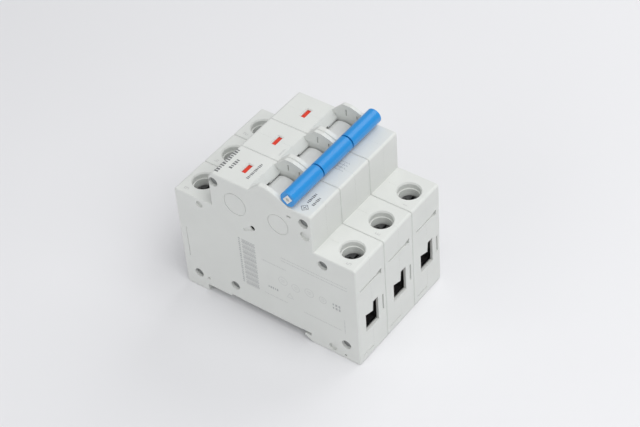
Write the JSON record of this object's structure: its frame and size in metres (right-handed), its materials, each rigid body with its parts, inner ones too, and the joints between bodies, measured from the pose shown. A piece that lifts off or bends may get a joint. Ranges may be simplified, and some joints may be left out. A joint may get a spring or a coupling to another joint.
{
  "type": "three-pole miniature circuit breaker",
  "caption": "Modular rail-mounted circuit breaker with a shared toggle bar, status windows, rising-cage terminals, contact and trip mechanism and arc chambers.",
  "frame": {"origin": "middle of the back plane, on which the breaker lies", "axes": "+X across the poles from pole 1 to pole 3, +Y up the wall towards the line terminals, +Z out of the wall"},
  "size_m": [0.0524, 0.08, 0.0712],
  "materials": {
    "housing": "moulded light grey, fine matte",
    "cap": "semi-gloss blue",
    "handle": "moulded white",
    "flag": "red and green",
    "clip": "moulded light grey",
    "steel": "zinc plated",
    "dark_steel": "blackened",
    "copper": "bare copper",
    "bobbin": "black moulding",
    "card": "fibre board",
    "trip": "moulded trip lever",
    "rivet": "dull grey, tumbled"
  },
  "bodies": {
    "housing": {"shell_1_left": "housing", "shell_1_right": "housing", "shell_2_left": "housing", "shell_2_right": "housing", "shell_3_left": "housing", "shell_3_right": "housing", "rivets": "rivet", "arm_pivot_pins": "steel", "fixed_contacts": "copper", "coil_windings": "copper", "coil_bobbins": "bobbin", "coil_yokes": "dark_steel", "bimetal_strips": "steel", "braids": "copper", "calibration_screws": "steel", "arc_plates": "dark_steel", "arc_chute_sides": "card", "line_terminal_plates": "copper", "load_terminal_plates": "copper", "plunger_springs": "steel", "handle_springs": "steel", "contact_springs": "steel"},
    "handle_group": {"handle_1": "handle", "handle_2": "handle", "handle_3": "handle", "handle_cap_1": "cap", "handle_cap_2": "cap", "handle_cap_3": "cap", "tie_rod": "steel"},
    "trip_bar": {"trip_shaft": "steel", "trip_lever_1": "trip", "trip_lever_2": "trip", "trip_lever_3": "trip"},
    "drive_link_1": {"drive_link_1": "steel"},
    "contact_arm_1": {"contact_arm_1": "copper"},
    "status_flag_1": {"status_flag_1": "flag"},
    "plunger_1": {"plunger_1": "dark_steel"},
    "din_clip_1": {"din_clip_1": "clip"},
    "drive_link_2": {"drive_link_2": "steel"},
    "contact_arm_2": {"contact_arm_2": "copper"},
    "status_flag_2": {"status_flag_2": "flag"},
    "plunger_2": {"plunger_2": "dark_steel"},
    "din_clip_2": {"din_clip_2": "clip"},
    "drive_link_3": {"drive_link_3": "steel"},
    "contact_arm_3": {"contact_arm_3": "copper"},
    "status_flag_3": {"status_flag_3": "flag"},
    "plunger_3": {"plunger_3": "dark_steel"},
    "din_clip_3": {"din_clip_3": "clip"},
    "terminal_screw_1": {"terminal_screw_1": "dark_steel"},
    "clamp_cage_1": {"clamp_cage_1": "dark_steel"},
    "terminal_screw_2": {"terminal_screw_2": "dark_steel"},
    "clamp_cage_2": {"clamp_cage_2": "dark_steel"},
    "terminal_screw_3": {"terminal_screw_3": "dark_steel"},
    "clamp_cage_3": {"clamp_cage_3": "dark_steel"},
    "terminal_screw_4": {"terminal_screw_4": "dark_steel"},
    "clamp_cage_4": {"clamp_cage_4": "dark_steel"},
    "terminal_screw_5": {"terminal_screw_5": "dark_steel"},
    "clamp_cage_5": {"clamp_cage_5": "dark_steel"},
    "terminal_screw_6": {"terminal_screw_6": "dark_steel"},
    "clamp_cage_6": {"clamp_cage_6": "dark_steel"}
  },
  "joints": [
    {"name": "handle_throw", "type": "hinge", "parent": "housing", "child": "handle_group", "pos_m": [0, 0.001, 0.054], "axis": [1, 0, 0], "range_deg": [0, 54]},
    {"name": "trip_turn", "type": "hinge", "parent": "housing", "child": "trip_bar", "pos_m": [0, 0.0035, 0.036], "axis": [1, 0, 0], "range_deg": [0, 12], "stiffness_Nm_per_rad": 0.01, "springref_deg": -17.19},
    {"name": "link_swing_1", "type": "hinge", "parent": "handle_group", "child": "drive_link_1", "pos_m": [-0.0175, -0.00109, 0.0499], "axis": [1, 0, 0], "range_deg": [-54.5, 0]},
    {"name": "contact_swing_1", "type": "hinge", "parent": "housing", "child": "contact_arm_1", "pos_m": [-0.0175, -0.007, 0.04007], "axis": [1, 0, 0], "range_deg": [-24.5, 0]},
    {"name": "flag_slide_1", "type": "slide", "parent": "housing", "child": "status_flag_1", "axis": [0, 1, 0], "range_m": [0, 0.0026]},
    {"name": "plunger_stroke_1", "type": "slide", "parent": "housing", "child": "plunger_1", "axis": [0, -1, 0], "range_m": [0, 0.0018], "stiffness_N_per_m": 150, "springref_m": -0.002, "deforming": ["plunger_springs"]},
    {"name": "clip_slide_1", "type": "slide", "parent": "housing", "child": "din_clip_1", "axis": [0, -1, 0], "range_m": [0, 0.004]},
    {"name": "link_swing_2", "type": "hinge", "parent": "handle_group", "child": "drive_link_2", "pos_m": [0, -0.00109, 0.0499], "axis": [1, 0, 0], "range_deg": [-54.5, 0]},
    {"name": "contact_swing_2", "type": "hinge", "parent": "housing", "child": "contact_arm_2", "pos_m": [0, -0.007, 0.04007], "axis": [1, 0, 0], "range_deg": [-24.5, 0]},
    {"name": "flag_slide_2", "type": "slide", "parent": "housing", "child": "status_flag_2", "axis": [0, 1, 0], "range_m": [0, 0.0026]},
    {"name": "plunger_stroke_2", "type": "slide", "parent": "housing", "child": "plunger_2", "axis": [0, -1, 0], "range_m": [0, 0.0018], "stiffness_N_per_m": 150, "springref_m": -0.002, "deforming": ["plunger_springs"]},
    {"name": "clip_slide_2", "type": "slide", "parent": "housing", "child": "din_clip_2", "axis": [0, -1, 0], "range_m": [0, 0.004]},
    {"name": "link_swing_3", "type": "hinge", "parent": "handle_group", "child": "drive_link_3", "pos_m": [0.0175, -0.00109, 0.0499], "axis": [1, 0, 0], "range_deg": [-54.5, 0]},
    {"name": "contact_swing_3", "type": "hinge", "parent": "housing", "child": "contact_arm_3", "pos_m": [0.0175, -0.007, 0.04007], "axis": [1, 0, 0], "range_deg": [-24.5, 0]},
    {"name": "flag_slide_3", "type": "slide", "parent": "housing", "child": "status_flag_3", "axis": [0, 1, 0], "range_m": [0, 0.0026]},
    {"name": "plunger_stroke_3", "type": "slide", "parent": "housing", "child": "plunger_3", "axis": [0, -1, 0], "range_m": [0, 0.0018], "stiffness_N_per_m": 150, "springref_m": -0.002, "deforming": ["plunger_springs"]},
    {"name": "clip_slide_3", "type": "slide", "parent": "housing", "child": "din_clip_3", "axis": [0, -1, 0], "range_m": [0, 0.004]},
    {"name": "cage_lift_1", "type": "slide", "parent": "housing", "child": "clamp_cage_1", "axis": [0, 0, 1], "range_m": [0, 0.006]},
    {"name": "screw_turn_1", "type": "hinge", "parent": "housing", "child": "terminal_screw_1", "pos_m": [-0.0175, 0.033, 0.036], "axis": [0, 0, 1], "range_deg": [-2745, 0]},
    {"name": "cage_lift_2", "type": "slide", "parent": "housing", "child": "clamp_cage_2", "axis": [0, 0, 1], "range_m": [0, 0.006]},
    {"name": "screw_turn_2", "type": "hinge", "parent": "housing", "child": "terminal_screw_2", "pos_m": [-0.0175, -0.033, 0.036], "axis": [0, 0, 1], "range_deg": [-2745, 0]},
    {"name": "cage_lift_3", "type": "slide", "parent": "housing", "child": "clamp_cage_3", "axis": [0, 0, 1], "range_m": [0, 0.006]},
    {"name": "screw_turn_3", "type": "hinge", "parent": "housing", "child": "terminal_screw_3", "pos_m": [0, 0.033, 0.036], "axis": [0, 0, 1], "range_deg": [-2745, 0]},
    {"name": "cage_lift_4", "type": "slide", "parent": "housing", "child": "clamp_cage_4", "axis": [0, 0, 1], "range_m": [0, 0.006]},
    {"name": "screw_turn_4", "type": "hinge", "parent": "housing", "child": "terminal_screw_4", "pos_m": [0, -0.033, 0.036], "axis": [0, 0, 1], "range_deg": [-2745, 0]},
    {"name": "cage_lift_5", "type": "slide", "parent": "housing", "child": "clamp_cage_5", "axis": [0, 0, 1], "range_m": [0, 0.006]},
    {"name": "screw_turn_5", "type": "hinge", "parent": "housing", "child": "terminal_screw_5", "pos_m": [0.0175, 0.033, 0.036], "axis": [0, 0, 1], "range_deg": [-2745, 0]},
    {"name": "cage_lift_6", "type": "slide", "parent": "housing", "child": "clamp_cage_6", "axis": [0, 0, 1], "range_m": [0, 0.006]},
    {"name": "screw_turn_6", "type": "hinge", "parent": "housing", "child": "terminal_screw_6", "pos_m": [0.0175, -0.033, 0.036], "axis": [0, 0, 1], "range_deg": [-2745, 0]}
  ],
  "couplings": [
    {"joint": "link_swing_1", "follows": "handle_throw", "ratio": -1},
    {"joint": "contact_swing_1", "follows": "handle_throw", "ratio": -0.444},
    {"joint": "flag_slide_1", "follows": "handle_throw", "m_per_rad": 0.00275},
    {"joint": "link_swing_2", "follows": "handle_throw", "ratio": -1},
    {"joint": "contact_swing_2", "follows": "handle_throw", "ratio": -0.444},
    {"joint": "flag_slide_2", "follows": "handle_throw", "m_per_rad": 0.00275},
    {"joint": "link_swing_3", "follows": "handle_throw", "ratio": -1},
    {"joint": "contact_swing_3", "follows": "handle_throw", "ratio": -0.444},
    {"joint": "flag_slide_3", "follows": "handle_throw", "m_per_rad": 0.00275},
    {"joint": "screw_turn_1", "follows": "cage_lift_1", "rad_per_m": -7854},
    {"joint": "screw_turn_2", "follows": "cage_lift_2", "rad_per_m": -7854},
    {"joint": "screw_turn_3", "follows": "cage_lift_3", "rad_per_m": -7854},
    {"joint": "screw_turn_4", "follows": "cage_lift_4", "rad_per_m": -7854},
    {"joint": "screw_turn_5", "follows": "cage_lift_5", "rad_per_m": -7854},
    {"joint": "screw_turn_6", "follows": "cage_lift_6", "rad_per_m": -7854}
  ]
}
